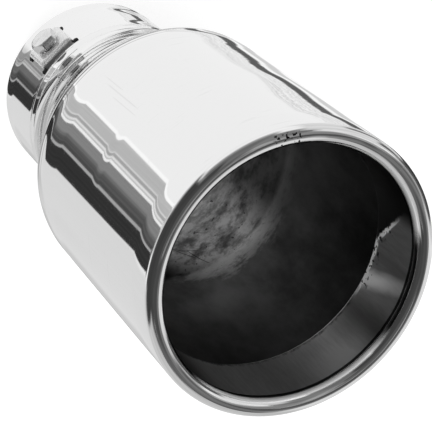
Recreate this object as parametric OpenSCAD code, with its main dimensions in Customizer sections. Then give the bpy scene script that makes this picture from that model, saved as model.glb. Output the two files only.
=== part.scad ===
// Round exhaust tip in polished stainless sheet, in millimetres.
// It stands on its inlet end with the mouth up, along +Z, and the inlet rim lies at z = 0.
// The straight body is rolled inwards at the mouth and runs back as a short band.
// A drawn shoulder leads down to the inlet sleeve, which slides over the tail pipe.
// A set screw in a square nut on the sleeve clamps the pipe. The nut faces -Y.

/* [Straight body] */
// Outer diameter of the body
body_d = 101.6; // [88:0.1:140]
// Length of the straight part, from the shoulder to the start of the rolled lip
body_len = 102.6; // [60:0.1:200]
// Thickness of the sheet of the body, the lip and the shoulder
sheet_t = 1.2; // [0.8:0.1:1.8]

/* [Rolled mouth] */
// Width across the rolled lip, from the body's outside to the inside of the band
lip_w = 6.2; // [4.5:0.1:12]
// Depth of the turned-in band behind the lip's inner edge
band_len = 25; // [8:0.5:45]

/* [Shoulder] */
// Height of the shoulder's double curve, from the collar to the straight body
shoulder_len = 46.2; // [34:0.1:80]
// Radius of the rounded rim where the body turns into the shoulder
rim_r = 8; // [3:0.5:16]
// Length of the short collar that laps over the sleeve
collar_len = 2.6; // [1.5:0.1:10]
// Radius of the polished weld between the collar's end and the sleeve
weld_r = 1.2; // [0.6:0.1:2]

/* [Inlet sleeve] */
// Bore of the sleeve, which slides over the tail pipe
bore_d = 71; // [56:0.1:76]
// Thickness of the sleeve's wall
sleeve_t = 1.5; // [1:0.1:2.5]
// Length of sleeve that stands out below the collar
sleeve_out = 34.4; // [28:0.1:60]
// Length of sleeve inside the collar and the shoulder
sleeve_lap = 6.6; // [4:0.1:15]
// Size of the bevel on the sleeve's outer edges
edge_break = 0.4; // [0.1:0.1:0.8]
// Gap all round between the sleeve and the collar that laps over it
lap_gap = 0.05; // [0.02:0.01:0.2]

/* [Square nut] */
// Width across the flats of the square nut
nut_w = 16; // [14.5:0.5:20]
// Height of the nut's outer face above the crown of the sleeve
nut_h = 2.3; // [1.5:0.1:6]
// Gap between the nut's edge and the weld at the collar
nut_gap = 3.2; // [1.5:0.1:8]
// Bevel along the upper edges of the nut
nut_bevel = 0.6; // [0.2:0.1:1]
// Radius of the small weld tack at each corner of the nut
tack_r = 1; // [0.6:0.1:1.4]

/* [Set screw with a small head] */
// Diameter over the screw's threads
screw_d = 7.9; // [5.9:0.1:8.9]
// Width across the flats of the screw's hexagon head
head_w = 9.5; // [9:0.1:13]
// Height of the head
head_h = 3.4; // [2.5:0.1:6]
// Gap between the head and the nut's outer face
head_gap = 0.8; // [0.8:0.1:6]
// Height of the bevel round the head's outer face
head_bevel = 0.5; // [0.2:0.1:0.8]
// Angle by which the head is turned away from one flat facing the mouth
head_turn = 9.6; // [0:0.1:30]
// Gap all round between the screw's threads and the nut
thread_gap = 0.05; // [0.02:0.01:0.1]
// Gap all round between the screw and the hole in the sleeve's wall
hole_gap = 0.25; // [0.1:0.05:0.6]
// Set-back of the screw's tip from the bore, so that the pipe can slide in
tip_back = 0.1; // [0:0.1:1]
// Bevel at the screw's tip
screw_bevel = 0.8; // [0.3:0.1:1.2]

/* [Hidden] */
$fn = 180;

body_r = body_d / 2;
bore_r = bore_d / 2;
sleeve_r = bore_r + sleeve_t;
sleeve_len = sleeve_out + sleeve_lap;

// The collar starts where the sleeve goes under it, and the shoulder above the collar.
collar_in_r = sleeve_r + lap_gap;
collar_r = collar_in_r + sheet_t;
collar_z = sleeve_out;
shoulder_z = collar_z + collar_len;
body_z = shoulder_z + shoulder_len;
lip_z = body_z + body_len;

// The lip is half a ring: its outer radius, and the place of its centre.
lip_r = lip_w / 2;
lip_x = body_r - lip_r;
band_r = lip_x - lip_r;

// The shoulder is two arcs that meet in one tangent: the rim's arc, and a wide one.
// Together they drop by drop_r over shoulder_len, which gives their angle and radii.
drop_r = body_r - collar_r;
turn = 2 * atan(drop_r / shoulder_len);
wide_r = shoulder_len / sin(turn) - rim_r;

// The set screw points at the axis, with its tip just outside the bore.
tip_r = bore_r + tip_back;
nut_top_r = sleeve_r + nut_h;
head_r = nut_top_r + head_gap;
nut_z = sleeve_out - weld_r - nut_gap - nut_w / 2;

// Middle of the rim's arc, and a point on it at the angle where the wide arc takes over.
rim_x = body_r - rim_r;
function rim_point(inset) = [rim_x, body_z] + (rim_r - inset) * [cos(turn), -sin(turn)];

// Half section of all that lies inside the shoulder and body, inset from their outside.
module body_area(inset) {
    translate([0, body_z]) square([body_r - inset, body_len]);
    translate([rim_x, body_z]) circle(r = rim_r - inset);
    difference() {
        polygon([
            [0, shoulder_z],
            [collar_r - inset, shoulder_z],
            rim_point(inset),
            [rim_x, body_z],
            [rim_x, body_z + rim_r],
            [0, body_z + rim_r]
        ]);
        translate([collar_r + wide_r, shoulder_z]) circle(r = wide_r + inset);
    }
}

// Half section of all that lies inside the lip and band, inset from their outside.
module mouth_area(inset, down) {
    translate([lip_x, lip_z]) circle(r = lip_r - inset);
    translate([band_r + inset, lip_z - down]) square([lip_w - 2 * inset, down]);
}

// Half section of the shell, from the weld at the sleeve up to the lip and down the band.
module shell_section() {
    lap = collar_len / 2;
    // shoulder and straight body
    difference() {
        body_area(0);
        body_area(sheet_t);
        translate([0, shoulder_z - lap]) square([collar_in_r, 2 * lap]);
        translate([0, lip_z - lap]) square([body_r - sheet_t, 2 * lap]);
    }
    // rolled lip, and the band turned back inside the mouth
    difference() {
        mouth_area(0, band_len);
        mouth_area(sheet_t, band_len + lap);
    }
    // collar that laps over the sleeve
    translate([collar_in_r, collar_z]) square([sheet_t, collar_len]);
    // polished weld under the collar's end
    translate([collar_in_r, collar_z]) intersection() {
        circle(r = weld_r);
        translate([0, -weld_r]) square([weld_r, 2 * weld_r]);
    }
}

// Body, rolled mouth and shoulder, drawn from one sheet.
module outer_shell() {
    color("gainsboro") rotate_extrude() shell_section();
}

// Things placed at the nut, with their own +Z pointing outwards from the tip's axis.
module at_nut() {
    translate([0, 0, nut_z]) rotate([90, 0, 0]) children();
}

// Tube that slides over the tail pipe, with a hole for the screw.
module inlet_sleeve() {
    color("silver") difference() {
        rotate_extrude() polygon([
            [bore_r, 0],
            [sleeve_r - edge_break, 0],
            [sleeve_r, edge_break],
            [sleeve_r, sleeve_len - edge_break],
            [sleeve_r - edge_break, sleeve_len],
            [bore_r, sleeve_len]
        ]);
        at_nut() cylinder(r = screw_d / 2 + hole_gap, h = nut_top_r);
    }
}

// Outline of the nut seen from one side, with its upper edges bevelled.
module nut_outline() {
    half = nut_w / 2;
    low = bore_r - sleeve_t;
    polygon([
        [-half, low],
        [half, low],
        [half, nut_top_r - nut_bevel],
        [half - nut_bevel, nut_top_r],
        [-half + nut_bevel, nut_top_r],
        [-half, nut_top_r - nut_bevel]
    ]);
}

// Square block bevelled along all four of its upper edges.
module nut_block() {
    intersection() {
        rotate([90, 0, 0]) translate([0, 0, -nut_w / 2])
            linear_extrude(nut_w) nut_outline();
        rotate([90, 0, 90]) translate([0, 0, -nut_w / 2])
            linear_extrude(nut_w) nut_outline();
    }
}

// Square nut, hollowed underneath to sit on the round sleeve and tacked at its corners.
module square_nut() {
    half = nut_w / 2;
    tack_h = sqrt(sleeve_r * sleeve_r - half * half);
    color("lightgray") difference() {
        at_nut() union() {
            nut_block();
            for (x = [-half, half], y = [-half, half])
                translate([x, y, tack_h]) sphere(r = tack_r, $fn = 48);
        }
        cylinder(r = sleeve_r, h = sleeve_len);
        at_nut() cylinder(r = screw_d / 2 + thread_gap, h = nut_top_r + 1);
    }
}

// Hexagon head, with the corners of its outer face bevelled by a cone.
module screw_head() {
    corner_r = head_w / 2 / cos(30);
    flare = head_bevel / (corner_r - 0.47 * head_w);
    intersection() {
        cylinder(r = corner_r, h = head_h, $fn = 6);
        cylinder(r1 = 0.47 * head_w + head_h / flare, r2 = 0.47 * head_w, h = head_h);
    }
}

// Set screw with a small hexagon head, its tip towards the bore.
module set_screw() {
    r = screw_d / 2;
    color("darkgray") at_nut() {
        translate([0, 0, tip_r]) cylinder(r1 = r - screw_bevel, r2 = r, h = screw_bevel);
        translate([0, 0, tip_r + screw_bevel])
            cylinder(r = r, h = head_r - tip_r - screw_bevel);
        translate([0, 0, head_r]) rotate([0, 0, head_turn]) screw_head();
    }
}

outer_shell();
inlet_sleeve();
square_nut();
set_screw();
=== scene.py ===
import math
import bmesh
import bpy
import numpy as np
from mathutils import Euler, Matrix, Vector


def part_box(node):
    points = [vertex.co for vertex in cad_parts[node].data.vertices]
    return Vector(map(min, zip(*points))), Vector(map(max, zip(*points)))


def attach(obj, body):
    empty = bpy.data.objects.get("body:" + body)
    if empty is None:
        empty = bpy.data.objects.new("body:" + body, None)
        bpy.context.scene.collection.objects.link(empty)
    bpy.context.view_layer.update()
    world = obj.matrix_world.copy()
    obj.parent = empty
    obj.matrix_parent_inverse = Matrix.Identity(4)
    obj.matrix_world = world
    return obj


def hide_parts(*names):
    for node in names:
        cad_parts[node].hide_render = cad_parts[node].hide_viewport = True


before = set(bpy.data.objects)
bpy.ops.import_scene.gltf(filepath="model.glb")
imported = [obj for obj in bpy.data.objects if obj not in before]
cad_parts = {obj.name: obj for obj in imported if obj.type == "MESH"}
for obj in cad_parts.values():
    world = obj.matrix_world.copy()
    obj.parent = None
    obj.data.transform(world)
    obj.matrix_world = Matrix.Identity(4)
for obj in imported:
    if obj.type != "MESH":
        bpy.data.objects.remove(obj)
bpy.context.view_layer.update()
print("frame loaded")

mm = 0.001
degrees = 180 / math.pi  # in one radian


def nodeBox(name):
    # lowest and highest corner of a solid, in millimetres
    low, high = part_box(name)
    return np.array(low) / mm, np.array(high) / mm


# sizes that several pieces share, in millimetres, read from the solids
shellLow, shellHigh = nodeBox("outer_shell")
sleeveLow, sleeveHigh = nodeBox("inlet_sleeve")
nutLow, nutHigh = nodeBox("square_nut")
screwLow, screwHigh = nodeBox("set_screw")
bodyRadius = (shellHigh[0] - shellLow[0]) / 2
topHeight = shellHigh[2]
sleeveRadius = (sleeveHigh[0] - sleeveLow[0]) / 2
nutHeight = (nutLow[2] + nutHigh[2]) / 2  # height of the nut's middle above the inlet rim
nutTop = -nutLow[1]  # distance of the nut's outer face from the tip's axis


class Wire:
    # one socket of a node tree: signs such as + and * on it add Math nodes, and make adds any other node
    def __init__(self, tree, socket=None):
        self.tree = tree
        self.socket = socket

    def make(self, kind, settings=None, sockets=None, output=0):
        node = self.tree.nodes.new("ShaderNode" + kind)
        for name, value in (settings or {}).items():
            setattr(node, name, value)
        for name, value in (sockets or {}).items():
            if isinstance(value, Wire):
                self.tree.links.new(value.socket, node.inputs[name])
            else:
                node.inputs[name].default_value = value
        return Wire(self.tree, node.outputs[output] if node.outputs else None)

    def part(self, output):
        return Wire(self.tree, self.socket.node.outputs[output])

    def maths(self, operation, *values):
        return self.make("Math", {"operation": operation}, dict(enumerate(values)))

    def __add__(self, other):
        return self.maths("ADD", self, other)

    def __radd__(self, other):
        return self.maths("ADD", other, self)

    def __sub__(self, other):
        return self.maths("SUBTRACT", self, other)

    def __rsub__(self, other):
        return self.maths("SUBTRACT", other, self)

    def __mul__(self, other):
        return self.maths("MULTIPLY", self, other)

    def __rmul__(self, other):
        return self.maths("MULTIPLY", other, self)

    def __truediv__(self, other):
        return self.maths("DIVIDE", self, other)

    def rise(self, low, high):  # 0 below low, 1 above high, and a smooth step between
        limits = {"Value": self, "From Min": low, "From Max": high}
        return self.make("MapRange", {"interpolation_type": "SMOOTHSTEP"}, limits)

    def between(self, low, high, soft):  # 1 between low and high, with soft ends
        return self.rise(low - soft, low + soft) * (1 - self.rise(high - soft, high + soft))

    def near(self, middle, width, soft):  # 1 within half the width of the middle
        return self.between(middle - width / 2, middle + width / 2, soft)

    def blend(self, other, share):  # this value, with a share of the other
        return self + (other - self) * share

    def larger(self, other):
        return self.maths("MAXIMUM", self, other)

    def sine(self):
        return self.maths("SINE", self)

    def squareRoot(self):
        return self.maths("SQRT", self)


# Shader parts

def startTree(owner):
    owner.use_nodes = True
    owner.node_tree.nodes.clear()
    return Wire(owner.node_tree)


def newFinish(name):
    # a new material, the start of its tree, and the place in the piece's own coordinates
    material = bpy.data.materials.new(name)
    root = startTree(material)
    return material, root, root.make("TexCoord", output="Object")


def metal(root, tone, rough, relief, metallic=1.0):
    # steel of one grey tone, with a relief whose height is in millimetres
    grey = root.make("CombineColor", sockets={0: tone, 1: tone, 2: tone})
    bump = root.make("Bump", sockets={"Height": relief, "Strength": 1.0, "Distance": mm})
    shader = root.make("BsdfPrincipled", sockets={
        "Base Color": grey, "Metallic": metallic, "Roughness": rough, "Normal": bump})
    root.make("OutputMaterial", sockets={"Surface": shader})


def stretched(root, place, up, across=1):
    # a place whose height and other two numbers are multiplied, so that a noise on it is drawn out
    return root.make("VectorMath", {"operation": "MULTIPLY"}, {0: place, 1: (across, across, up)})


def noise(root, place, scale, detail=2.0, rough=0.5, up=1):
    # values round 0.5, drawn out upwards where up is below 1
    if up != 1:
        place = stretched(root, place, up)
    return root.make("TexNoise", sockets={
        "Vector": place, "Scale": scale, "Detail": detail, "Roughness": rough})


def specks(root, place, scale, start, full):
    # dots where a fine noise rises from one value to another
    return noise(root, place, scale, 1.5).rise(start, full)


def mixed(amounts, *textures):
    # the first amount, plus each further one times its texture
    return sum((amount * texture for amount, texture in zip(amounts[1:], textures)), amounts[0])


def apart(root, place):
    return root.make("SeparateXYZ", sockets={"Vector": place})


def azimuthOf(root, parts):
    # direction about the Z axis in degrees
    return root.maths("ARCTAN2", parts.part(1), parts) * degrees


def roundPlace(root, place):
    # azimuth about the tip's axis in degrees, and height in millimetres
    parts = apart(root, place)
    return azimuthOf(root, parts), parts.part(2) / mm


def waves(root, place, layers):
    # unevenness of the sheet as a sum of noises: height in millimetres, scale and detail of each
    return sum(tall * noise(root, place, scale, detail) for tall, scale, detail in layers)


def steps(height, shares):
    # smooth steps of a relief: from and to height, and how far the surface comes out, all in millimetres
    return sum(height.rise(low, high) * amount for low, high, amount in shares)


def dents(azimuth, height, places):
    # steps on one side only: from and to height, how far the surface comes out, from and to azimuth
    soft = 5
    return sum(height.rise(low, high) * azimuth.between(start, end, soft) * depth
               for low, high, depth, start, end in places)


# Studio

studio = {
    "lens": 139.16,
    "camera": (9.98, -317.97, 612.27),
    "cameraTurn": (-24.135, -23.765, 139.435),  # degrees about X, Y and Z
    "cameraReach": (0.02, 50),  # nearest and farthest distance that it sees, in metres
    "floorSize": 6000,
    "floorTone": 0.8,
    "floorShade": 0.3,  # tone that the camera sees under the floor's glow
    "floorGlow": 0.8,  # share of the floor's white that a shadow can't darken
    "lampPlace": (300, -200, 1400),
    "lampSize": 1300,
    "lampPower": 26,
    "tentWhite": 1.0,
    "streaks": (0.45, 0.05),  # how fast the streaks on the cards change across and upwards
    "streakNoise": (1.0, 4.0, 0.7),  # scale, detail and roughness
    "cardStreaks": 0.3,  # strength on cards and on stripes
    "stripeStreaks": 1.3,
    "slats": (146, 165, 3),  # upright dark slats: from and to azimuth, and softness
    "slatSpacing": 2.3,
    "slatDark": 0.30,
    "slatWaver": 9,  # how much the streaks bend the slats
    "slatEdge": (-0.2, 0.6),
    "fan": (-32, 1.13, 0.26),  # azimuth from which stripes spread, spread at the floor, and how much less higher up
    "fanChange": (-66, -50),  # elevations between which the spread changes
}

# cards and gaps in the tent: from and to azimuth, lowest and highest elevation, softness, and brightness
# angles are in degrees, and a later card hangs in front of the ones before it
cards = {
    "paleLow": (-15, 90, -120, -38, 3.0, 0.78),
    "foldLow": (57, 90, -120, -38, 7.0, 0.62),
    "foldEdge": (74, 90, -120, -38, 3.0, 0.40),
    "underStripes": (24, 118, -84, -68, 6.0, 0.42),
    "paleMiddle": (-20, 112, -40, -4, 3.0, 0.68),
    "paleHigh": (-1, 112, -8, 46, 3.0, 0.60),
    "foldHigh": (60, 80, -16, 16, 4.0, 0.56),
    "paleSide": (74, 112, -8, 41, 3.0, 0.80),
    "sideWall": (115, 127, -120, 30, 2.5, 0.66),
    "backWall": (150, 400, -42, 36, 4.0, 0.78),
    "backWallOn": (-400, -158, -42, 36, 4.0, 0.78),
    "backSide": (-144, -96, -3, 12, 4.0, 0.34),
    "backSideHigh": (-144, -92, 10, 72, 4.0, 0.165),
    "backHigh": (112, 400, 46, 72, 4.0, 0.26),
    "backHighOn": (-400, -142, 36, 72, 5.0, 0.18),
    "backHighSide": (-162, -138, 22, 72, 5.0, 0.22),
    "darkGap": (133.4, 144.2, -120, -42, 1.6, 0.12),
    "darkColumn": (121, 145, -43, 21, 2.0, 0.040),
    "darkColumnTop": (122, 159, -2, 21, 3.0, 0.10),
    "columnFoot": (157, 176, -24, -7, 3.0, 0.20),
    "columnAbove": (122, 141, 24, 48, 3.0, 0.32),
    "roomLow": (-96, -58, -30, -8, 3.0, 0.22),
    "roomLowDark": (-66, -22, -21, -6, 3.0, 0.06),
    "roomBelow": (-84, -40, -38, -26, 4.0, 0.52),
    "roomBehindCamera": (-92, -1, -11, 68, 3.0, 0.050),
    "roomAbove": (-112, 24, 36, 70, 3.0, 0.060),
    "tentTop": (-400, 400, 73, 130, 3.0, 0.13),
    "topPale": (62, 150, 64, 80, 3.0, 0.36),
    "topDark": (-150, 24, 66, 84, 3.0, 0.085),
    "lowRail": (66, 128, 43, 58, 2.0, 0.20),
    "foldTop": (24, 78, 37, 60, 2.5, 0.13),
    "sideDark": (113, 130, 34, 60, 3.0, 0.12),
    "rail": (2, 128, 55, 74, 1.2, 0.075),
}

# narrow upright cards beside the camera, which spread towards the floor, given in the same way
stripes = {
    "greyCard": (-53.4, -36.0, -120, -43, 0.6, 0.26),
    "greyCardDark": (-44.0, -34.0, -120, -43, 3.0, 0.10),
    "blackCard": (-33.0, -15.0, -120, -43, 0.7, 0.036),
    "paleSlit": (-34.9, -33.0, -120, -43, 0.4, 0.44),
    "thinGap": (-38.4, -35.4, -120, -43, 0.6, 0.075),
    "whiteLine": (-55.5, -53.4, -120, -43, 0.3, 1.00),
    "gapShade": (-56.9, -55.5, -120, -43, 0.3, 0.58),
    "secondLine": (-58.5, -56.9, -120, -43, 0.3, 0.84),
    "greyGap": (-61.2, -58.5, -120, -43, 0.4, 0.42),
    "thirdLine": (-62.2, -61.2, -120, -43, 0.25, 0.74),
    "greyEdge": (-71.8, -62.2, -120, -43, 0.4, 0.54),
    "lastLine": (-74.6, -71.8, -120, -43, 0.5, 1.12),
}


def hung(bright, group, strength, streaks, across, elevation):
    # the tent's brightness with a group of cards in it, whose streaks are strongest on middle greys
    for start, end, low, high, soft, value in group.values():
        share = elevation.between(low, high, soft * 2)
        if end - start < 360:
            share = share * across.between(start, end, soft)
        bright = bright.blend(value + streaks * (strength * value * (1.1 - value)), share)
    return bright


def makeWorld():
    # a tent whose brightness depends on the direction alone, and which the camera sees as plain white
    world = bpy.data.worlds.new("studioTent")
    bpy.context.scene.world = world
    root = startTree(world)
    parts = apart(root, root.make("TexCoord", output="Generated"))
    azimuth = azimuthOf(root, parts)
    elevation = root.maths("ARCSINE", parts.part(2)) * degrees
    sideways, upwards = studio["streaks"]
    flow = root.make("CombineXYZ", sockets={0: azimuth * sideways, 1: elevation * upwards, 2: 0.0})
    streaks = noise(root, flow, *studio["streakNoise"]) - 0.5
    turns = azimuth * (2 * math.pi / studio["slatSpacing"]) + streaks * studio["slatWaver"]
    slats = azimuth.between(*studio["slats"]) * turns.sine().rise(*studio["slatEdge"])
    middle, spread, less = studio["fan"]
    fanned = (azimuth - middle) / (spread - less * elevation.rise(*studio["fanChange"])) + middle
    bright = studio["tentWhite"] - slats * studio["slatDark"]
    bright = hung(bright, cards, studio["cardStreaks"], streaks, azimuth, elevation)
    bright = hung(bright, stripes, studio["stripeStreaks"], streaks, fanned, elevation)
    toCamera = root.make("LightPath", output="Is Camera Ray")
    light = {"Color": (1, 1, 1, 1), "Strength": bright.blend(1, toCamera)}
    root.make("OutputWorld", sockets={"Surface": root.make("Background", sockets=light)})


def makeFloor():
    half = studio["floorSize"] / 2 * mm
    corners = [(-half, -half, 0), (half, -half, 0), (half, half, 0), (-half, half, 0)]
    mesh = bpy.data.meshes.new("floor")
    mesh.from_pydata(corners, [], [(0, 1, 2, 3)])
    floor = bpy.data.objects.new("floor", mesh)
    bpy.context.scene.collection.objects.link(floor)
    material = bpy.data.materials.new("whiteFloor")
    root = startTree(material)
    tone, shade = studio["floorTone"], studio["floorShade"]
    matt = root.make("BsdfDiffuse", sockets={"Color": (tone, tone, tone, 1)})
    dim = root.make("BsdfDiffuse", sockets={"Color": (shade, shade, shade, 1)})
    glow = root.make("Emission", sockets={"Strength": studio["floorGlow"]})
    seen = root.make("AddShader", sockets={0: dim, 1: glow})
    toCamera = root.make("LightPath", output="Is Camera Ray")
    shader = root.make("MixShader", sockets={0: toCamera, 1: matt, 2: seen})
    root.make("OutputMaterial", sockets={"Surface": shader})
    floor.data.materials.append(material)
    floor.visible_glossy = False  # the metal shows the tent, which goes on below the floor


def makeLamp():
    data = bpy.data.lights.new("softLamp", "AREA")
    data.size = studio["lampSize"] * mm
    data.energy = studio["lampPower"]
    lamp = bpy.data.objects.new("softLamp", data)
    lamp.location = [value * mm for value in studio["lampPlace"]]
    lamp.visible_glossy = False
    bpy.context.scene.collection.objects.link(lamp)


def makeCamera():
    data = bpy.data.cameras.new("camera")
    data.lens = studio["lens"]
    data.clip_start, data.clip_end = studio["cameraReach"]
    camera = bpy.data.objects.new("camera", data)
    camera.location = [value * mm for value in studio["camera"]]
    camera.rotation_euler = Euler([math.radians(value) for value in studio["cameraTurn"]], "XYZ")
    bpy.context.scene.collection.objects.link(camera)
    bpy.context.scene.camera = camera


makeWorld()
makeFloor()
makeLamp()
makeCamera()
bpy.context.scene.view_settings.view_transform = "Standard"
print("studio ready")


# Meshes

sharpEdge = 40  # degrees that the surface has to turn by at an edge for the edge to look sharp


def gridPiece(name, grids, zones=None, sharp=sharpEdge):
    # each grid of points in millimetres is a closed surface whose columns wrap round
    # its rows end in poles, or wrap round too where zones gives a material number for each row of quads
    points, quads, first = [], [], 0
    for grid in grids:
        rows, columns = grid.shape[:2]
        index = np.arange(rows * columns).reshape(rows, columns) + first
        index = np.hstack([index, index[:, :1]])
        if zones is not None:
            index = np.vstack([index, index[:1]])
        corners = [index[:-1, :-1], index[:-1, 1:], index[1:, 1:], index[1:, :-1]]
        quads.append(np.stack(corners, -1).reshape(-1, 4))
        points.append(grid.reshape(-1, 3))
        first += rows * columns
    points, quads = np.vstack(points), np.vstack(quads)
    mesh = bpy.data.meshes.new(name)
    mesh.vertices.add(len(points))
    mesh.vertices.foreach_set("co", (points * mm).astype(np.float32).ravel())
    mesh.loops.add(quads.size)
    mesh.loops.foreach_set("vertex_index", quads.ravel().astype(np.int32))
    mesh.polygons.add(len(quads))
    mesh.polygons.foreach_set("loop_start", np.arange(0, quads.size, 4, dtype=np.int32))
    if zones is not None:
        mesh.polygons.foreach_set("material_index", np.repeat(zones, grids[0].shape[1]).astype(np.int32))
    mesh.update(calc_edges=True)
    work = bmesh.new()
    work.from_mesh(mesh)
    bmesh.ops.remove_doubles(work, verts=work.verts, dist=1e-7)  # the points of a pole become one
    bmesh.ops.recalc_face_normals(work, faces=work.faces)
    work.to_mesh(mesh)
    work.free()
    piece = bpy.data.objects.new(name, mesh)
    bpy.context.scene.collection.objects.link(piece)
    smooth(piece, sharp)
    return piece


def smooth(piece, sharp):
    # smooth shading, but for edges that turn by more than the given degrees
    mesh = piece.data
    mesh.polygons.foreach_set("use_smooth", np.ones(len(mesh.polygons), bool))
    mesh.set_sharp_from_angle(angle=math.radians(sharp))


def finishPiece(piece, body, node, slot, *materials):
    for material in materials:
        piece.data.materials.append(material)
    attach(piece, body)
    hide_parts(node)


def straight(start, end, count):
    # count points evenly along a line, without its end
    share = np.arange(count)[:, None] / count
    return np.array(start) * (1 - share) + np.array(end) * share


def arc(middle, radius, start, end, count):
    # count points evenly along an arc, from one angle to the other in degrees, without its end
    angle = np.radians(start + (end - start) * np.arange(count) / count)
    return np.array(middle) + radius * np.stack([np.cos(angle), np.sin(angle)], 1)


def joined(runs):
    # the points of all the runs as one section, and the material number of each point
    section = np.vstack([points for zone, points in runs])
    zones = np.concatenate([np.full(len(points), zone) for zone, points in runs])
    return section, zones


def around(count):
    return np.arange(count) / count * 2 * np.pi


def turned(section, count):
    # a section of radius and height turned about the Z axis: x = r cos a, y = r sin a
    angle = around(count)
    radius, height = section[:, 0, None], section[:, 1, None]
    return np.stack([radius * np.cos(angle), radius * np.sin(angle), height + 0 * angle], -1)


def atNut(side, up, out):
    # from places on the nut to the tip's own: side along X, up along Z, and out from the axis towards -Y
    return np.stack(np.broadcast_arrays(side, -np.asarray(out), up + nutHeight), -1)


# Outer shell

shell = {
    "around": 300,
    "sheet": 1.2,
    "lipWidth": 6.2,
    "bandLength": 25,
    "bodyLength": 102.6,
    "shoulderLength": 46.2,
    "rimRadius": 8,
    "collarLength": 2.6,
    "beadRadius": 1.2,
    "collarRadius": sleeveRadius + 0.05,
    "edgeRound": 0.3,  # rounding of the band's free edge
    "polishedTurn": 140,  # degrees round the lip, from its outer side, that belong to the polish
}


def shellSection():
    # the sheet's outline as radius and height: outside upwards, over the lip, down the band, and back inside
    sheet = shell["sheet"]
    lipRadius = shell["lipWidth"] / 2
    lipMiddle = np.array([bodyRadius - lipRadius, topHeight - lipRadius])
    bandRadius = lipMiddle[0] - lipRadius
    bandEnd = lipMiddle[1] - shell["bandLength"]
    bodyLow = lipMiddle[1] - shell["bodyLength"]
    collarHigh = bodyLow - shell["shoulderLength"]
    collarLow = collarHigh - shell["collarLength"]
    inner = shell["collarRadius"]
    outer = inner + sheet
    turn = 2 * math.atan((bodyRadius - outer) / shell["shoulderLength"])
    rim = shell["rimRadius"]
    wide = shell["shoulderLength"] / math.sin(turn) - rim
    slope = math.degrees(turn)
    rimMiddle = (bodyRadius - rim, bodyLow)
    wideMiddle = (outer + wide, collarHigh)
    edge = shell["edgeRound"]
    lipTurn = shell["polishedTurn"]
    polished, brushed, dull, welded = range(4)
    return joined([
        (welded, arc((inner, collarLow), shell["beadRadius"], -90, 0, 10)),
        (polished, straight((outer, collarLow), (outer, collarHigh), 4)),
        (polished, arc(wideMiddle, wide, 180, 180 - slope, 44)),
        (polished, arc(rimMiddle, rim, -slope, 0, 26)),
        (polished, straight((bodyRadius, bodyLow), (bodyRadius, lipMiddle[1]), 40)),
        (polished, arc(lipMiddle, lipRadius, 0, lipTurn, 46)),
        (brushed, arc(lipMiddle, lipRadius, lipTurn, 180, 14)),
        (brushed, straight((bandRadius, lipMiddle[1]), (bandRadius, bandEnd + edge), 34)),
        (brushed, arc((bandRadius + edge, bandEnd + edge), edge, 180, 270, 5)),
        (brushed, arc((bandRadius + sheet - edge, bandEnd + edge), edge, 270, 360, 5)),
        (dull, straight((bandRadius + sheet, bandEnd + edge), (bandRadius + sheet, lipMiddle[1]), 4)),
        (dull, arc(lipMiddle, lipRadius - sheet, 180, 0, 10)),
        (dull, straight((bodyRadius - sheet, lipMiddle[1]), (bodyRadius - sheet, bodyLow), 24)),
        (dull, arc(rimMiddle, rim - sheet, 0, -slope, 8)),
        (dull, arc(wideMiddle, wide + sheet, 180 - slope, 180, 16)),
        (dull, straight((inner, collarHigh), (inner, collarLow - shell["beadRadius"]), 3)),
    ])


polish = {
    "tone": 0.84,
    "rough": (0.03, 0.03, 0.05, 0.4, 0.1),  # plain, and what haze, hairlines, pits and marks add
    "haze": (240, 3.0),
    "waves": ((0.10, 18, 1.0), (0.006, 95, 2.0)),
    "curls": (
        (174.5, 192, -0.86),  # towards the lip
        (80, 88.5, 0.55),  # towards the shoulder
        (86, 100, -0.26),
        (40, 55, 1.3),  # fillet above the collar
    ),
    "dents": (
        (130, 136.5, -0.09, -84, -62),
        (133, 160, -0.40, -162, -138),
        (118, 136, 0.28, -162, -138),
    ),
    # lines pressed into the shoulder: height, width and depth
    "creases": ((48.6, 1.2, 0.16), (39.5, 0.7, 0.10), (35.4, 0.5, 0.05)),
    "ripples": (330, 2.0, 0.5, 0.6),  # noise of small dents in the side away from the nut
    "rippleSide": (-152, -138, 3),
    "rippleHeight": (90, 182, 3),
    "rippleDepth": 0.035,
    # thin dark lines at the shoulder's rim, painted shade where the sheet bends: height, width, and how dark
    "rimLines": ((83.0, 0.9, 0.66), (85.0, 0.5, 0.36)),
    "rimSide": (-128, -44, 6),
    "rimSoft": 0.12,
    # fine scratches: azimuth, width in degrees, from and to height
    "scuffs": ((-93.9, 0.5, 103, 128), (-95.7, 0.35, 98, 112), (-91.5, 0.3, 112, 131)),
    "scuffLean": 0.02,  # degrees that they turn for each millimetre of height
    "scuffDark": 0.09,
    "scuffSoft": 0.3,
    "scuffEnds": 3,
    "hairlines": (60, 1400),  # noise scale across, and along the axis
    "hairlineEdge": (0.66, 0.72),
    "hairlineDark": 0.04,
    "marks": (1.6, 3.0, 0.6),  # noise of the polishing marks round the lip
    "markHeight": (184.5, 186.5),  # where they start and are full
    "markRelief": 0.05,
    "markTone": 0.35,
    "pits": (900, 0.56, 0.60),  # black pits on the lip
    "pitSide": (-131.5, -120.5, 0.8),
    "pitHeight": (188.1, 190, 0.2),
    "pitDark": 0.83,
}


def lipMarks(root, place, azimuth, height):
    # rings round the lip, as a noise of the distance from the axis and the height
    fromAxis = root.make("VectorMath", {"operation": "LENGTH"}, {0: stretched(root, place, 0)}, "Value")
    rings = root.make("CombineXYZ", sockets={0: fromAxis / mm, 1: height, 2: azimuth * 0.01})
    return (noise(root, rings, *polish["marks"]) - 0.5) * height.rise(*polish["markHeight"])


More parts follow.
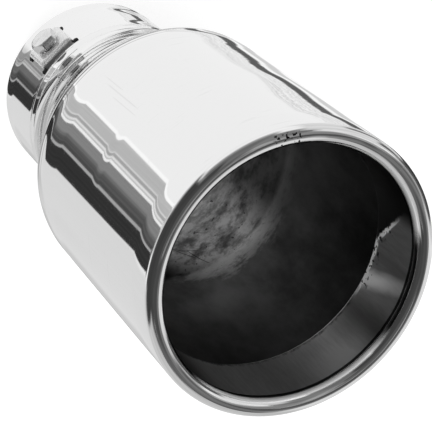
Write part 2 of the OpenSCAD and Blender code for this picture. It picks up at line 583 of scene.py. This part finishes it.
def rimShadeAndScuffs(azimuth, height):
    # how much darker the painted shade of the lines at the rim and the fine scratches are
    rimSide = azimuth.between(*polish["rimSide"])
    worn = 0
    for middle, width, dark in polish["rimLines"]:
        # the rim lines are painted shade, while the scuffs below are real scratches
        worn = height.near(middle, width, polish["rimSoft"]) * rimSide * dark + worn
    for middle, width, low, high in polish["scuffs"]:
        line = (azimuth + (height - low) * polish["scuffLean"]).near(middle, width, polish["scuffSoft"])
        worn = worn + line * height.between(low, high, polish["scuffEnds"]) * polish["scuffDark"]
    return worn


def polishedSteel():
    # mirror polish whose relief is worked out from the height, so that reflections bend where the sheet was rolled
    material, root, place = newFinish("polishedSteel")
    azimuth, height = roundPlace(root, place)
    marks = lipMarks(root, place, azimuth, height)
    ripple = noise(root, place, *polish["ripples"]) * azimuth.between(*polish["rippleSide"])
    ripple = ripple * height.between(*polish["rippleHeight"])
    relief = waves(root, place, polish["waves"]) + steps(height, polish["curls"])
    relief = relief + dents(azimuth, height, polish["dents"])
    for middle, width, depth in polish["creases"]:
        relief = relief - height.near(middle, width, width / 2) * depth
    relief = relief + ripple * polish["rippleDepth"] + marks * polish["markRelief"]
    across, along = polish["hairlines"]
    hairline = noise(root, stretched(root, place, along, across), 1.0, 3.0).rise(*polish["hairlineEdge"])
    pit = specks(root, place, *polish["pits"]) * azimuth.between(*polish["pitSide"])
    pit = pit * height.between(*polish["pitHeight"])
    tone = polish["tone"] - rimShadeAndScuffs(azimuth, height) - polish["hairlineDark"] * hairline
    tone = tone - polish["pitDark"] * pit + polish["markTone"] * marks
    haze = noise(root, place, *polish["haze"])
    metal(root, tone, mixed(polish["rough"], haze, hairline, pit, marks), relief)
    return material


band = {
    "grain": (1100, 3.0, 0.5, 0.12),  # noises of the brushing, of wide streaks, of ragged edges and of wavy ones
    "streaks": (130, 3.0, 0.5, 0.05),
    "ragged": (420, 4.0, 0.7),
    "wavy": (55, 2.0),
    "waveHeight": 0.8,
    "tones": (0.10, 0.78),  # dark and lit satin
    "toneMix": (0.55, 0.5, 0.4),  # plain, and what streaks and grain add
    "rough": (0.30, 0.10),  # plain, and what the grain adds
    "marginTone": 0.86,  # polished margin at the lip
    "marginRough": 0.04,
    "marginSoft": 0.25,
    "lineHeight": 185.2,  # upper side of the thin dark line of painted shade below the margin
    "lineWidth": 1.5,
    "lineSoft": 0.15,
    "lineRagged": 0.3,
    "shadowLineDark": 0.95,
    "litSide": (10, 92, 14),  # azimuths between which the satin is lit, and softness
    "litMiddle": (104, 131, 9),
    "litFar": (124, 150, 6),
    "litFarStrength": 1.15,
    "litHeight": (-0.6, 1.2),  # above the ragged line
    "brightest": (66, 92, 8),
    "brightestHeight": (164, 182),
    "brightestStrength": 0.5,
    "edgeStart": (131, 161.5, 0.80),  # azimuth and height where the ragged line leaves the free edge, and its slope
    "edgeRagged": 4.4,
    "burrWidth": (-0.9, 1.1, 0.4),  # burr along the ragged line, painted bright as a highlight: from, to and softness
    "burrSide": (105, 146, 5),
    "burrHighlightTone": 0.9,
    "pits": (620, 0.57, 0.60),  # black pits beside the ragged line
    "pitSide": (108, 142, 2),
    "pitReach": (1.5, 5),
    "pitDark": 0.93,
    "paintedSheen": (113, 7.2, 3.2),  # painted sheen, a bright streak that stands in for the reflection of a light: middle azimuth, width and softness
    "sheenHeight": (163, 184),  # where it starts to fade, and where it's faintest
    "sheenFade": 0.60,
    "sheenLean": 0.3,
    "sheenRagged": 4,
    "paintedSheenStrength": 0.85,
    "freeEdgeHighlight": (36, 128, 10),  # painted highlight along the free edge: from and to azimuth, and softness
    "freeEdgeHighlightHeight": (161.05, 161.35),
    "clouded": (4, 96, 8),  # part of the polished margin that is clouded
    "cloudedHeight": (185.5, 187.5, 0.3),
    "cloudedStrength": 0.72,
    "faint": (140, 152),  # more of it on either side of the azimuth 180: from azimuth, and full from
    "faintHeight": (184.6, 186.4),
    "faintStrength": 0.42,
    "reliefs": (0, 0.010, 0.06, -0.05),  # what grain, burr and pits add
    "lineRelief": 0.03,
    "hazes": (0.9, 0.80, 0.6, 0.08),  # share of burr, painted sheen, painted free-edge highlight and lit satin that isn't mirror-like
}


def bandLit(azimuth, height, above):
    # where the satin is lighter: 0 is dark, and 1 is lit
    lit = azimuth.between(*band["litSide"]) + azimuth.between(*band["litMiddle"])
    lit = lit.larger(azimuth.between(*band["litFar"]) * band["litFarStrength"]) * above.rise(*band["litHeight"])
    brightest = azimuth.between(*band["brightest"]) * height.rise(*band["brightestHeight"])
    return lit + brightest * band["brightestStrength"]


# painted sheen: a bright leaning streak in the satin, where a light is reflected
def bandPaintedSheen(azimuth, height, ragged):
    low, high = band["sheenHeight"]
    leaning = azimuth + (low - height) * band["sheenLean"] + ragged * band["sheenRagged"]
    return leaning.near(*band["paintedSheen"]) * (1 - height.rise(low, high) * band["sheenFade"])


def bandClouds(azimuth, height):
    # clouded parts of the polished margin
    side = azimuth.between(*band["clouded"]) * height.between(*band["cloudedHeight"])
    far = (azimuth * azimuth).squareRoot().rise(*band["faint"]) * height.rise(*band["faintHeight"])
    return side * band["cloudedStrength"] + far * band["faintStrength"]


def satinBand():
    # brushed band: a mirror margin at the lip, a dark line of painted shade, satin with streaks and painted light,
    # a painted sheen and free-edge highlight, and a ragged rough line with pits and a burr painted bright
    material, root, place = newFinish("satinBand")
    azimuth, height = roundPlace(root, place)
    grain = noise(root, place, *band["grain"])
    streak = noise(root, place, *band["streaks"])
    ragged = noise(root, place, *band["ragged"]) - 0.5
    wavy = height + (noise(root, place, *band["wavy"]) - 0.5) * band["waveHeight"]
    line = band["lineHeight"]
    margin = wavy.rise(line, line + band["marginSoft"])
    # painted shade: a thin dark line under the polished margin, over a shallow groove
    paintedShadowLine = (wavy + ragged * band["lineRagged"]).between(line - band["lineWidth"], line, band["lineSoft"])
    startAzimuth, startHeight, slope = band["edgeStart"]
    edge = (azimuth - startAzimuth).larger(0) * slope + startHeight
    above = height - edge + ragged * band["edgeRagged"]  # height above the ragged line
    lit = bandLit(azimuth, height, above)
    paintedSheen = bandPaintedSheen(azimuth, height, ragged)
    burr = above.between(*band["burrWidth"]) * azimuth.between(*band["burrSide"])
    pit = specks(root, place, *band["pits"]) * azimuth.between(*band["pitSide"])
    pit = pit * (1 - above.rise(*band["pitReach"]))
    # painted highlight: the free edge is made bright
    freeEdgeHighlight = (1 - height.rise(*band["freeEdgeHighlightHeight"])) * azimuth.between(*band["freeEdgeHighlight"])
    darkTone, litTone = band["tones"]
    tone = (lit * (litTone - darkTone) + darkTone) * mixed(band["toneMix"], streak, grain)
    # painted highlights: the burr, the sheen and the free edge are blended towards a bright tone
    tone = tone.blend(band["burrHighlightTone"], burr.larger(paintedSheen * band["paintedSheenStrength"]).larger(freeEdgeHighlight))
    tone = tone.blend(band["marginTone"], margin) * (1 - paintedShadowLine * band["shadowLineDark"]) * (1 - pit * band["pitDark"])
    rough = mixed(band["rough"], grain).blend(band["marginRough"], margin)
    relief = mixed(band["reliefs"], grain, burr, pit) * (1 - margin) - band["lineRelief"] * paintedShadowLine
    burrHaze, sheenHaze, edgeHaze, litHaze = band["hazes"]
    haze = (burr * burrHaze).larger(paintedSheen * sheenHaze).larger(freeEdgeHighlight * edgeHaze).larger(lit * litHaze)
    haze = haze * (1 - pit) * (1 - margin) + bandClouds(azimuth, height)
    metal(root, tone, rough, relief, metallic=1 - haze)
    return material


inside = {
    "clouds": (26, 3.0, 0.6),  # noises of wide clouds, of the patch's marbling and of the wall's mottling
    "marble": (110, 7.0, 0.75, 1.7),
    "mottle": (48, 5.0, 0.6, 0.5),
    "mottleEdge": (0.30, 0.72),
    # painted shade: the wall is kept nearly black, as it lies deep in the tube
    "shadedWallTone": 0.08,
    "mottleTone": (0.30, 1.15),  # shares of the wall's tone: plain, and what the mottling's noise adds
    "rough": (0.42, 0.2, 0.1),  # plain, and what clouds and patch add
    "litPatchTone": 0.85,
    "patchSide": (51, 150, 9),  # marbled patch of painted light on the far side of the shoulder, where light from the mouth falls: from and to azimuth, and softness
    "patchTop": (80, 95),  # heights between which it fades out
    "patchTail": (75, 0.38),  # it ends lower below this azimuth, by so many millimetres to a degree
    "patchRagged": (34, 20),  # millimetres that marbling and clouds move its top by
    "patchWander": 30,  # degrees that clouds move its sides by
    "patchFade": (88, 116, 0.72),  # it is weaker from here: from azimuth, full from, and how much
    "patchMarble": (0.34, 0.75),  # strength of the patch: plain, and what the marbling adds
    "marbleEdge": (0.34, 0.62),
    "patchHaze": 0.5,
    "softLitPatch": (55, 110, 0.35),  # faint pool of painted light on the wall: middle azimuth and height, and how narrow it is
    "softPatchReach": (10, 160),  # squares of the distances from its middle where it starts to fade and is gone
    "softLitPatchTone": 0.03,
    "specks": (560, 0.70, 0.73),  # black specks in the patch
    "speckPatch": (0.3, 0.6),
    # black scratches: azimuth and height of the middle, direction in degrees, half length and half width
    "scratches": (
        (58.5, 70.5, 52, 7.0, 0.10),
        (62.5, 72.0, 28, 5.0, 0.09),
        (66.5, 77.0, 60, 4.5, 0.10),
        (75.0, 68.5, 40, 2.6, 0.08),
    ),
    "scratchBend": 0.012,
    "scratchSoft": (0.6, 0.08),  # at the ends and at the sides
    "markDark": 0.8,  # of specks and scratches
    "degreeWidth": 0.8,  # millimetres to a degree at the patch
    "reliefs": (0, 0.05, -0.04),  # what marbling and scratches add
}


def insideScratches(azimuth, height):
    softEnds, softSides = inside["scratchSoft"]
    cuts = []
    for middle, level, direction, halfLength, halfWidth in inside["scratches"]:
        side, rise = (azimuth - middle) * inside["degreeWidth"], height - level
        turn = math.radians(direction)
        along = side * math.cos(turn) + rise * math.sin(turn)
        across = rise * math.cos(turn) - side * math.sin(turn) + along * along * inside["scratchBend"]
        cuts.append(along.near(0, 2 * halfLength, softEnds) * across.near(0, 2 * halfWidth, softSides))
    scratch = cuts[0]
    for cut in cuts[1:]:
        scratch = scratch.larger(cut)
    return scratch


def paintedLightPatch(azimuth, height, cloud, marble):
    # strength of the marbled patch of painted light, from 0 to about 1
    tail, slope = inside["patchTail"]
    byMarble, byCloud = inside["patchRagged"]
    reach = height + (tail - azimuth).larger(0) * slope + (marble - 0.5) * byMarble + (cloud - 0.5) * byCloud
    litPatch = (azimuth + (cloud - 0.5) * inside["patchWander"]).between(*inside["patchSide"])
    litPatch = litPatch * (1 - reach.rise(*inside["patchTop"]))
    fadeStart, fadeEnd, fade = inside["patchFade"]
    strength = mixed(inside["patchMarble"], marble.rise(*inside["marbleEdge"]))
    return litPatch * strength * (1 - azimuth.rise(fadeStart, fadeEnd) * fade)


def dullInside():
    # unpolished inside: painted shade keeps it nearly black, with a marbled patch of painted light and a few
    # scratches
    material, root, place = newFinish("dullInside")
    azimuth, height = roundPlace(root, place)
    cloud = noise(root, place, *inside["clouds"])
    marble = noise(root, place, *inside["marble"])
    mottle = noise(root, place, *inside["mottle"]).rise(*inside["mottleEdge"])
    litPatch = paintedLightPatch(azimuth, height, cloud, marble)
    middle, level, narrow = inside["softLitPatch"]
    away = (azimuth - middle) * (azimuth - middle) * narrow + (height - level) * (height - level)
    softLitPatch = 1 - away.rise(*inside["softPatchReach"])
    scratch = insideScratches(azimuth, height)
    speck = specks(root, place, *inside["specks"]) * litPatch.rise(*inside["speckPatch"])
    # painted shade of the inside wall, mottled by a noise
    wall = inside["shadedWallTone"] * mixed(inside["mottleTone"], mottle)
    # painted light: the lit patch and the soft pool brighten the painted shade of the wall
    tone = wall.blend(inside["litPatchTone"], litPatch) + softLitPatch * inside["softLitPatchTone"]
    tone = tone * (1 - scratch * inside["markDark"]) * (1 - speck * inside["markDark"])
    relief = mixed(inside["reliefs"], marble, scratch)
    metal(root, tone, mixed(inside["rough"], cloud, litPatch), relief, metallic=1 - litPatch * inside["patchHaze"])
    return material


bead = {
    "ragged": (300, 3.0),
    "tones": (0.8, -0.62),  # plain, and what the lower edge adds
    "rough": (0.08, 0.25, 0.1),  # plain, and what the lower edge and the raggedness add
    "reliefs": (0, 0.035, 0.05),  # what ripples and raggedness add
    "lowHeight": (33.5, 33.9),
    "lowRagged": 0.5,
    "ripples": 2.7,  # radians of ripple for each degree round the joint
    "rippleRagged": 4,
}


def weldBead():
    # the polished-over weld at the collar: fine ripples round the joint, darker at its lower edge
    material, root, place = newFinish("weldBead")
    azimuth, height = roundPlace(root, place)
    ragged = noise(root, place, *bead["ragged"])
    ripple = (azimuth * bead["ripples"] + ragged * bead["rippleRagged"]).sine()
    low = 1 - (height + ragged * bead["lowRagged"]).rise(*bead["lowHeight"])
    relief = mixed(bead["reliefs"], ripple, ragged)
    metal(root, mixed(bead["tones"], low), mixed(bead["rough"], low, ragged), relief)
    return material


def makeShell():
    section, zones = shellSection()
    piece = gridPiece("polished_shell", [turned(section, shell["around"])], zones)
    materials = [polishedSteel(), satinBand(), dullInside(), weldBead()]
    finishPiece(piece, "tip", "outer_shell", "polished_shell", *materials)


makeShell()
print("shell ready")


# Inlet sleeve

sleeve = {
    "around": 260,
    "wall": 1.5,
    "edgeRound": 0.4,
    "hole": 4.2,  # radius of the hole for the screw
    "holeAround": 64,
    "holeReach": (6, 4),  # how far the cutter goes inside and outside the wall
    "tone": 0.86,
    "rough": (0.03, 0.05, 0.12),  # plain, and what drawn lines and heat add
    "waves": ((0.10, 20, 1.0), (0.008, 110, 2.0)),
    "curls": (
        (-1, 8, -0.48),  # the lower end opens slightly
        (29.5, 36, 0.34),  # and the upper end too, at the weld
    ),
    "flare": (-110, -30, 8),  # side where the wall leans in: from and to azimuth, and softness
    "flareLean": -0.042,  # for each millimetre of height
    "dents": (
        (4, 14, 0.5, -160, -136),
        (22, 31, 0.45, -160, -136),
    ),
    "drawn": (900, 3.0, 0.5, 0.04),  # noise of fine lines along the tube
    "stain": (-79, -62, 3),  # smoky stain beside the nut
    "stainNoise": (90, 3.0),
    "stainMix": (0.252, 0.21),  # how dark: plain, and what its noise adds
    "weldRippleShadow": (32.3, 32.9, 0.12),  # heights of a dashed dark line under the weld, painted shadow of its ripples
    "weldShadowSide": (-136, -100, 3),
    "weldShadowDark": 0.6,
    "dashes": 3.6,  # radians for each degree round the tube
    "dashEdge": (-0.6, 0.3),
    "heat": (31.5, 34),  # dull margin at the weld: from height, and full from
    "heatNoise": (160, 3.0),
    "heatEdge": (0.35, 0.65),
    "heatDark": 0.30,
    "boreCloud": (60, 4.0, 0.6),
    "boreTone": (0.34, 0.25),  # plain, and what clouds add
    "boreRough": (0.26, 0.12),  # plain, and what drawn lines add
    "boreRelief": 0.01,
}


def sleeveSteel():
    material, root, place = newFinish("sleeveSteel")
    azimuth, height = roundPlace(root, place)
    relief = waves(root, place, sleeve["waves"]) + steps(height, sleeve["curls"])
    relief = relief + height * azimuth.between(*sleeve["flare"]) * sleeve["flareLean"]
    relief = relief + dents(azimuth, height, sleeve["dents"])
    # painted shadow: dashes of dark under the weld, where its ripples shade the tube
    dashes = (azimuth * sleeve["dashes"]).sine().rise(*sleeve["dashEdge"])
    weldRippleShadow = height.between(*sleeve["weldRippleShadow"]) * azimuth.between(*sleeve["weldShadowSide"]) * dashes
    stain = mixed(sleeve["stainMix"], noise(root, place, *sleeve["stainNoise"]))
    stain = stain * azimuth.between(*sleeve["stain"])
    heat = height.rise(*sleeve["heat"]) * noise(root, place, *sleeve["heatNoise"]).rise(*sleeve["heatEdge"])
    drawn = noise(root, place, *sleeve["drawn"])
    tone = sleeve["tone"] - sleeve["heatDark"] * heat - sleeve["weldShadowDark"] * weldRippleShadow - stain
    metal(root, tone, mixed(sleeve["rough"], drawn, heat), relief)
    return material


def sleeveBoreSteel():
    material, root, place = newFinish("sleeveBoreSteel")
    drawn = noise(root, place, *sleeve["drawn"])
    cloud = noise(root, place, *sleeve["boreCloud"])
    relief = sleeve["boreRelief"] * drawn
    metal(root, mixed(sleeve["boreTone"], cloud), mixed(sleeve["boreRough"], drawn), relief)
    return material


def boreForScrew(piece, inner, outer):
    # the hole is cut out of the mesh once, so that no modifier is left on it
    angle = around(sleeve["holeAround"])
    before, beyond = sleeve["holeReach"]
    depth = np.array([inner - before, inner - before, outer + beyond, outer + beyond])[:, None]
    radius = np.array([0, 1, 1, 0])[:, None] * sleeve["hole"]
    cutter = gridPiece("cutter", [atNut(radius * np.cos(angle), radius * np.sin(angle), depth + 0 * angle)])
    bore = piece.modifiers.new("screwHole", "BOOLEAN")
    bore.operation = "DIFFERENCE"
    bore.solver = "EXACT"
    bore.object = cutter
    bored = bpy.data.meshes.new_from_object(piece.evaluated_get(bpy.context.evaluated_depsgraph_get()))
    piece.modifiers.clear()
    piece.data = bored
    smooth(piece, sharpEdge)
    bpy.data.objects.remove(cutter)


def makeSleeve():
    # a tube with rounded edges, bored through for the screw
    outer, low, high, edge = sleeveRadius, sleeveLow[2], sleeveHigh[2], sleeve["edgeRound"]
    inner = outer - sleeve["wall"]
    outside, bore = range(2)
    section, zones = joined([
        (outside, straight((outer, low + edge), (outer, high - edge), 30)),
        (outside, arc((outer - edge, high - edge), edge, 0, 90, 6)),
        (bore, arc((inner + edge, high - edge), edge, 90, 180, 6)),
        (bore, straight((inner, high - edge), (inner, low + edge), 20)),
        (bore, arc((inner + edge, low + edge), edge, 180, 270, 6)),
        (outside, arc((outer - edge, low + edge), edge, 270, 360, 6)),
    ])
    piece = gridPiece("inlet_tube", [turned(section, sleeve["around"])], zones)
    finishPiece(piece, "tip", "inlet_sleeve", "polished_sleeve", sleeveSteel(), sleeveBoreSteel())
    boreForScrew(piece, inner, outer)


makeSleeve()
print("sleeve ready")


# Square nut

nut = {
    "around": 200,
    "half": 8,
    "squareness": 18,  # power of the rounded square
    "edgeRound": 1.6,
    "hole": 4.0,
    "holeBevel": 0.5,
    "holeDepth": 0.9,
    "clear": 0.02,  # gap between the nut and the sleeve under it
    "cast": (420, 4.0, 0.65),
    "castRelief": 0.012,
    "blotches": (130, 3.0),
    "tone": (0.86, 0.12),  # plain, and what blotches add
    "rough": (0.26, 0.14),
    "worn": (37.2, 38.4),  # the steel is duller and lighter from here outwards: distances from the axis
    "wornHaze": 0.5,
}


def nutSteel():
    material, root, place = newFinish("nutSteel")
    cast = noise(root, place, *nut["cast"])
    blotch = noise(root, place, *nut["blotches"])
    fromAxis = apart(root, place).part(1) / -mm
    haze = fromAxis.rise(*nut["worn"]) * nut["wornHaze"]
    tone, rough = mixed(nut["tone"], blotch), mixed(nut["rough"], blotch)
    metal(root, tone, rough, nut["castRelief"] * cast, metallic=1 - haze)
    return material


def onSleeve(side):
    # distance from the axis of a point just above the round sleeve: out = sqrt(r^2 - side^2) + gap
    return np.sqrt(sleeveRadius ** 2 - side ** 2) + nut["clear"]


def makeNut():
    # rows of a rounded square |x|^n + |y|^n = 1 go down its wall to the sleeve, and in to a round hole
    angle = around(nut["around"])
    power, half, edge = nut["squareness"], nut["half"], nut["edgeRound"]
    side, up = np.cos(angle), np.sin(angle)
    square = (np.abs(side) ** power + np.abs(up) ** power) ** (-1 / power)
    hole, bevel, flat = nut["hole"], nut["holeBevel"], 0 * angle
    shares = np.linspace(0, 1, 9)
    rows = []
    for share in shares:  # underneath, from the hole to the outline
        radius = hole + (half * square - hole) * share
        rows.append((radius, onSleeve(radius * side)))
    for share in shares[1:]:  # up the wall
        low = onSleeve(half * square * side)
        rows.append((half * square, low + (nutTop - edge - low) * share))
    for turn in shares[1:] * np.pi / 2:  # over the rounded edge
        radius = (half - edge * (1 - math.cos(turn))) * square
        rows.append((radius, nutTop - edge * (1 - math.sin(turn)) + flat))
    for share in shares[1:]:  # in to the hole's bevel
        radius = (half - edge) * square * (1 - share) + (hole + bevel) * share
        rows.append((radius, nutTop + flat))
    for share in np.linspace(0, 1, 13)[1:-1]:  # down the threaded hole
        radius = hole + bevel * (1 - min(share * 6, 1))
        rows.append((radius + flat, nutTop - bevel * 0.8 - nut["holeDepth"] * share + flat))
    grid = np.stack([atNut(radius * side, radius * up, out) for radius, out in rows])
    piece = gridPiece("square_nut_block", [grid], np.zeros(len(grid), int))
    finishPiece(piece, "tip", "square_nut", "nut_steel", nutSteel())


# lumps of burnt weld at the nut's corners: side, height, outward place, and half sizes in these directions
tacks = {
    "lowerLeft": (8.3, -7.9, 36.4, 0.8, 1.0, 0.7),
    "upperLeft": (8.3, 8.3, 36.3, 0.9, 0.8, 0.7),
    "lowerRight": (-8.3, -8.0, 36.3, 0.7, 0.8, 0.6),
    "upperRight": (-8.5, 8.2, 36.2, 1.1, 0.9, 0.7),
}


burnt = {
    "lumps": (900, 4.0, 0.6),
    "tone": (0.015, 0.05),  # plain, and what lumps add
    "rough": (0.45, 0.3),
    "relief": 0.12,
    "metallic": 0.3,
}


def burntWeld():
    material, root, place = newFinish("burntWeld")
    lump = noise(root, place, *burnt["lumps"])
    tone, rough = mixed(burnt["tone"], lump), mixed(burnt["rough"], lump)
    metal(root, tone, rough, burnt["relief"] * lump, metallic=burnt["metallic"])
    return material


def makeTacks():
    # each lump is an ellipsoid whose radius is swollen by two waves:
    # 1 + 0.22 sin(3a + 2k) sin(b) + 0.12 sin(5a + 4b + k) sin(b), for turn a, tilt b and lump k
    turn = around(28)
    tilt = np.linspace(0, np.pi, 15)[:, None]
    grids = []
    for count, (side, up, out, wide, tall, thick) in enumerate(tacks.values()):
        waving = 0.22 * np.sin(3 * turn + count * 2) + 0.12 * np.sin(5 * turn + 4 * tilt + count)
        swell = 1 + waving * np.sin(tilt)
        grids.append(atNut(
            side + wide * swell * np.sin(tilt) * np.cos(turn),
            up + tall * swell * np.sin(tilt) * np.sin(turn),
            out + thick * swell * np.cos(tilt) + 0 * turn))
    piece = gridPiece("weld_tacks", grids)
    piece.data.materials.append(burntWeld())
    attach(piece, "tip")


makeNut()
makeTacks()
print("nut ready")


# Set screw

screw = {
    "around": 180,
    "thread": 3.95,
    "threadDepth": 0.6,
    "pitch": 1.25,
    "tipBevel": 0.8,
    "tipClear": 0.02,  # how far the last row lies short of the solid's tip
    "headWidth": 9.5,
    "headHeight": 3.4,
    "headBevel": 0.5,
    "headFace": 4.4,  # radius of the flat outer face
    "headTurn": 9.6,  # degrees from facing the mouth
    "cornerCut": 0.08,  # how much the hexagon's corners are rounded off
    "underBevel": 0.15,  # bevel under the head
    "neck": 0.2,  # how far the head's underside stops outside the thread
    "neckHeight": 0.1,
    "sharp": 28,
    "blotches": (260, 4.0, 0.6),
    "tone": (0.62, 0.25),  # plain, and what blotches add
    "rough": (0.14, 0.16),
    "reliefs": (0, 0.006, 0.01),  # what turning rings and blotches add
    "rings": 26,  # radians of turning mark for each millimetre on the outer face
    "faceDepth": 0.2,  # how far in from the outer face the rings reach
}


def screwSteel():
    material, root, place = newFinish("screwSteel")
    parts = apart(root, place)
    side, up = parts / mm, parts.part(2) / mm - nutHeight
    rings = ((side * side + up * up).squareRoot() * screw["rings"]).sine()
    blotch = noise(root, place, *screw["blotches"])
    face = screwLow[1]
    onFace = (parts.part(1) / mm).between(face - 1, face + screw["faceDepth"], 0.1)
    relief = mixed(screw["reliefs"], rings * onFace, blotch)
    metal(root, mixed(screw["tone"], blotch), mixed(screw["rough"], blotch), relief)
    return material


def makeScrew():
    # hexagon radius = half width / cos(angle from the flat's middle), cut by a cone at the outer face
    # thread radius = outer radius - depth * triangle wave of (distance along the axis / pitch - angle / full turn)
    angle = around(screw["around"])
    side, up, flat = np.cos(angle), np.sin(angle), 0 * angle
    fromFlat = (angle - math.radians(screw["headTurn"])) % (np.pi / 3) - np.pi / 6
    corner = screw["headWidth"] / 2 / math.cos(np.pi / 6)
    hexagon = np.minimum(screw["headWidth"] / 2 / np.cos(fromFlat), corner - screw["cornerCut"])
    tip, top = -screwHigh[1], -screwLow[1]
    headLow = top - screw["headHeight"]
    face, outer, under = screw["headFace"], screw["thread"], screw["underBevel"]
    slope = screw["headBevel"] / (corner - face)
    rows = [(flat, top + flat)]
    for share in (0.3, 0.6, 0.9, 1.0):  # the flat outer face
        rows.append((face * share + flat, top + flat))
    for share in (0.25, 0.5, 0.75, 1.0):  # its bevel
        radius = face + (hexagon - face) * share
        rows.append((radius, top - (radius - face) * slope))
    bevelLow = top - (hexagon - face) * slope
    for share in np.linspace(0, 1, 7)[1:]:  # down the head's sides
        rows.append((hexagon, bevelLow + (headLow + under - bevelLow) * share))
    rows.append((hexagon - under, headLow + flat))
    rows.append((outer + screw["neck"] + flat, headLow + flat))
    threadTop, threadEnd = headLow - screw["neckHeight"], tip + screw["tipClear"]
    for share in np.linspace(0, 1, 61):  # along the thread
        out = threadTop + (threadEnd - threadTop) * share
        wave = np.abs(((out / screw["pitch"] - angle / (2 * np.pi)) % 1) - 0.5) * 2
        bevel = max(screw["tipBevel"] - (out - tip), 0)
        rows.append((np.minimum(outer - screw["threadDepth"] * wave, outer - bevel), out + flat))
    rows.append((flat, tip + flat))
    grid = np.stack([atNut(radius * side, radius * up, out) for radius, out in rows])
    piece = gridPiece("hex_set_screw", [grid], sharp=screw["sharp"])
    finishPiece(piece, "screw", "set_screw", "screw_steel", screwSteel())


makeScrew()
print("screw ready")
